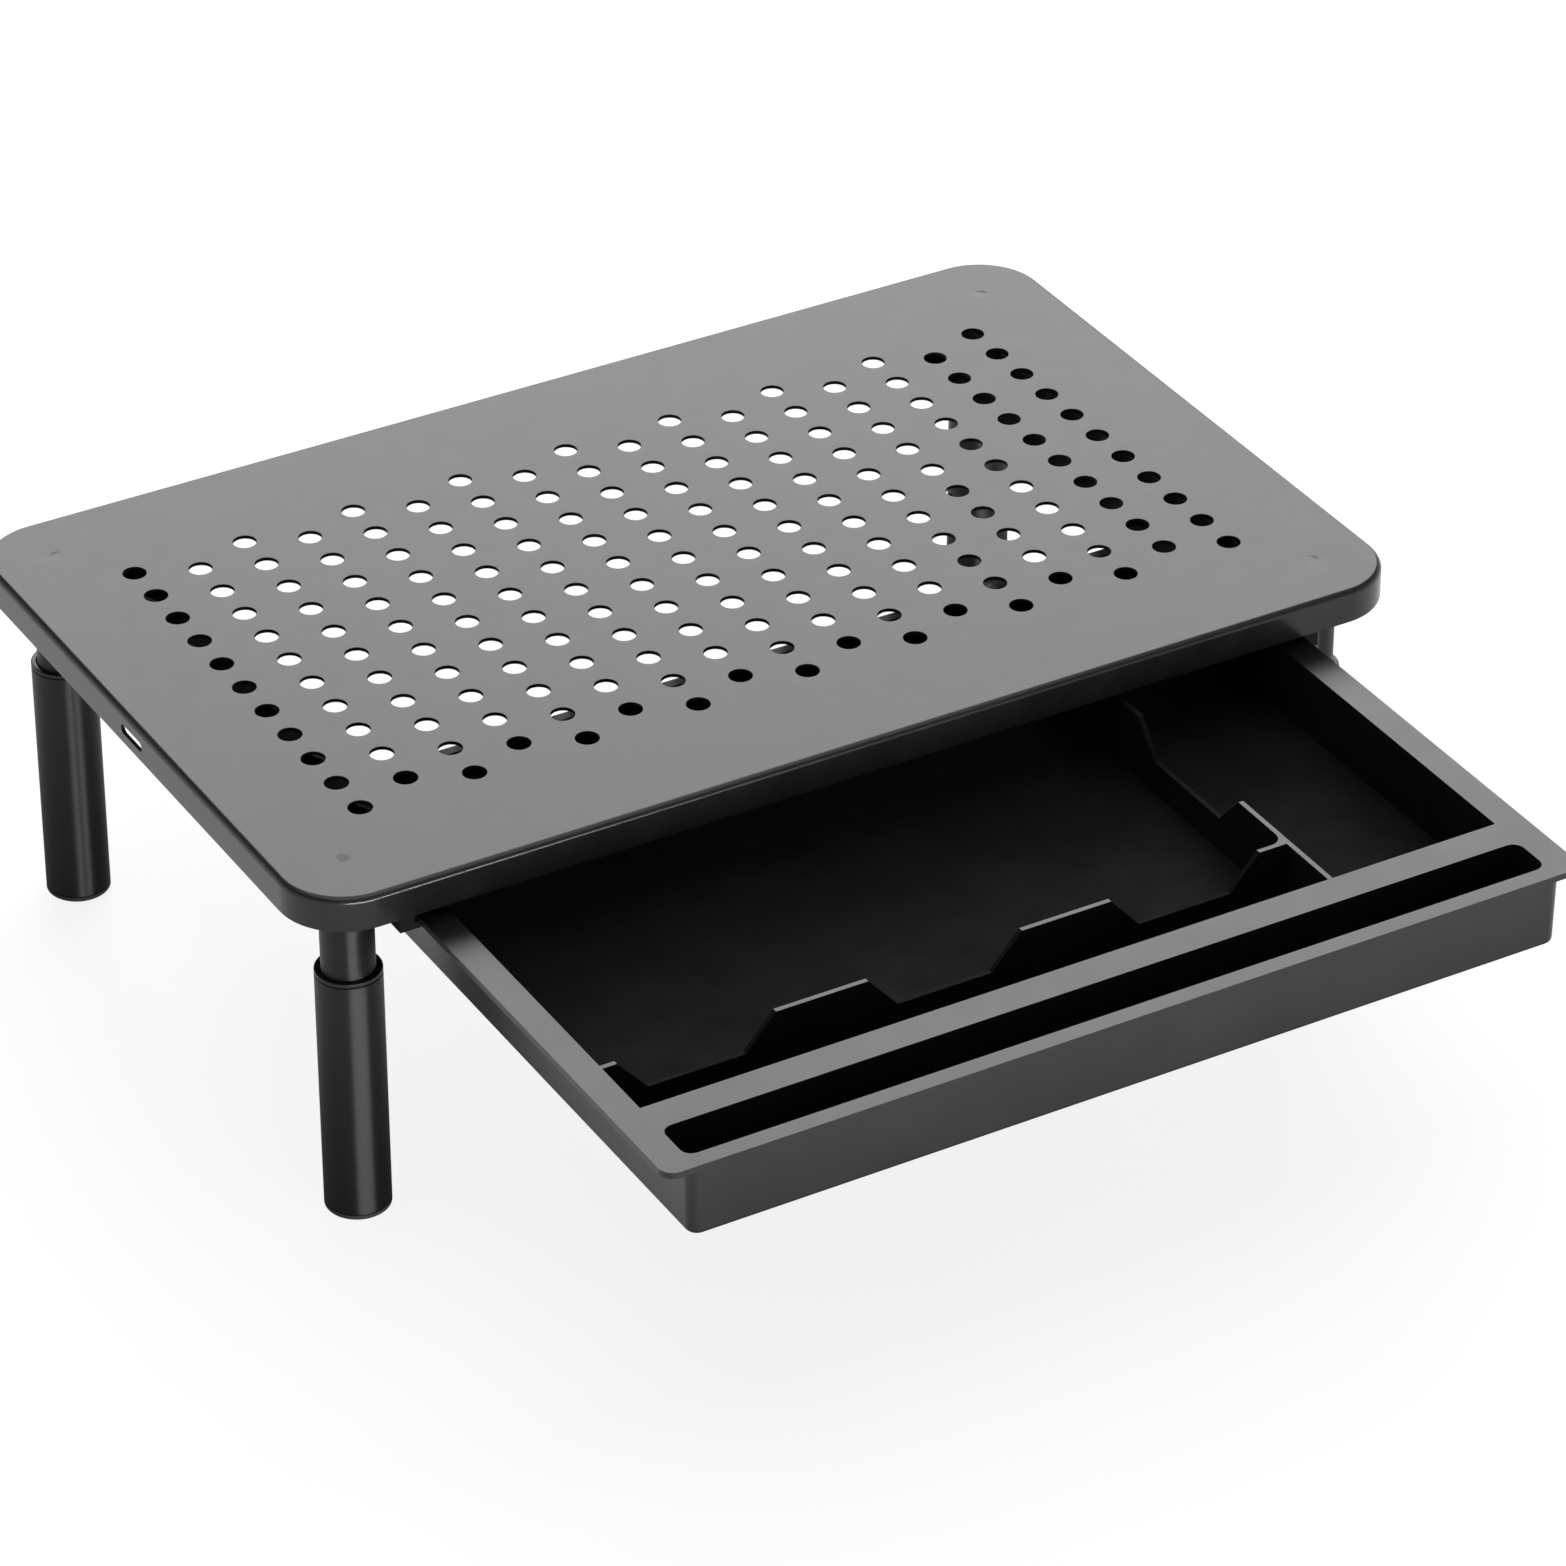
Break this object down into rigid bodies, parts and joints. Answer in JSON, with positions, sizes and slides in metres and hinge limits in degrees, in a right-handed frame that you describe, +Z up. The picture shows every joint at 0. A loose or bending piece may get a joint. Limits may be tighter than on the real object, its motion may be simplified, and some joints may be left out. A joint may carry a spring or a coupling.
{
  "type": "monitor riser",
  "caption": "Perforated steel monitor riser on telescoping round legs, with a moulded slide-out drawer that has a phone slot and notched dividers.",
  "frame": {"origin": "on the ground, at the middle of the outline in X and Y that the riser has with its drawer out as in the rest pose", "axes": "+Z up, +Y to the rear, +X to the right of someone who faces the drawer; the drawer opens toward -Y"},
  "size_m": [0.37, 0.3766, 0.12],
  "materials": {
    "coated_steel": "dark grey satin powder coat",
    "tube_lacquer": "black semi-gloss lacquer on steel tube",
    "tray_plastic": "black moulded plastic, satin",
    "rail_plastic": "black moulded plastic, matt",
    "foot_rubber": "black rubber, matt",
    "zinc": "zinc plated steel",
    "spring_steel": "bare spring steel"
  },
  "bodies": {
    "riser": {"top_plate": "coated_steel", "left_rail": "rail_plastic", "right_rail": "rail_plastic", "rail_nut_left_front": "zinc", "rail_nut_left_middle": "zinc", "rail_nut_left_rear": "zinc", "rail_nut_right_front": "zinc", "rail_nut_right_middle": "zinc", "rail_nut_right_rear": "zinc", "leg_insert_front_left": "zinc", "upper_tube_front_left": "tube_lacquer", "button_spring_front_left": "spring_steel", "leg_insert_front_right": "zinc", "upper_tube_front_right": "tube_lacquer", "button_spring_front_right": "spring_steel", "leg_insert_rear_left": "zinc", "upper_tube_rear_left": "tube_lacquer", "button_spring_rear_left": "spring_steel", "leg_insert_rear_right": "zinc", "upper_tube_rear_right": "tube_lacquer", "button_spring_rear_right": "spring_steel"},
    "drawer": {"drawer_tray": "tray_plastic"},
    "front_left_leg": {"lower_tube_front_left": "tube_lacquer", "guide_bush_front_left": "rail_plastic", "foot_cap_front_left": "foot_rubber"},
    "front_right_leg": {"lower_tube_front_right": "tube_lacquer", "guide_bush_front_right": "rail_plastic", "foot_cap_front_right": "foot_rubber"},
    "rear_left_leg": {"lower_tube_rear_left": "tube_lacquer", "guide_bush_rear_left": "rail_plastic", "foot_cap_rear_left": "foot_rubber"},
    "rear_right_leg": {"lower_tube_rear_right": "tube_lacquer", "guide_bush_rear_right": "rail_plastic", "foot_cap_rear_right": "foot_rubber"},
    "front_left_button": {"snap_button_front_left": "zinc"},
    "front_right_button": {"snap_button_front_right": "zinc"},
    "rear_left_button": {"snap_button_rear_left": "zinc"},
    "rear_right_button": {"snap_button_rear_right": "zinc"}
  },
  "joints": [
    {"name": "drawer_slide", "type": "slide", "parent": "riser", "child": "drawer", "axis": [0, -1, 0], "range_m": [-0.141, 0.015]},
    {"name": "front_left_leg_height", "type": "slide", "parent": "riser", "child": "front_left_leg", "axis": [0, 0, -1], "range_m": [-0.02, 0.02]},
    {"name": "front_right_leg_height", "type": "slide", "parent": "riser", "child": "front_right_leg", "axis": [0, 0, -1], "range_m": [-0.02, 0.02]},
    {"name": "rear_left_leg_height", "type": "slide", "parent": "riser", "child": "rear_left_leg", "axis": [0, 0, -1], "range_m": [-0.02, 0.02]},
    {"name": "rear_right_leg_height", "type": "slide", "parent": "riser", "child": "rear_right_leg", "axis": [0, 0, -1], "range_m": [-0.02, 0.02]},
    {"name": "front_left_button_press", "type": "slide", "parent": "riser", "child": "front_left_button", "axis": [1, 0, 0], "range_m": [0, 0.0024], "stiffness_N_per_m": 800, "springref_m": 0.004},
    {"name": "front_right_button_press", "type": "slide", "parent": "riser", "child": "front_right_button", "axis": [-1, 0, 0], "range_m": [0, 0.0024], "stiffness_N_per_m": 800, "springref_m": 0.004},
    {"name": "rear_left_button_press", "type": "slide", "parent": "riser", "child": "rear_left_button", "axis": [1, 0, 0], "range_m": [0, 0.0024], "stiffness_N_per_m": 800, "springref_m": 0.004},
    {"name": "rear_right_button_press", "type": "slide", "parent": "riser", "child": "rear_right_button", "axis": [-1, 0, 0], "range_m": [0, 0.0024], "stiffness_N_per_m": 800, "springref_m": 0.004}
  ]
}
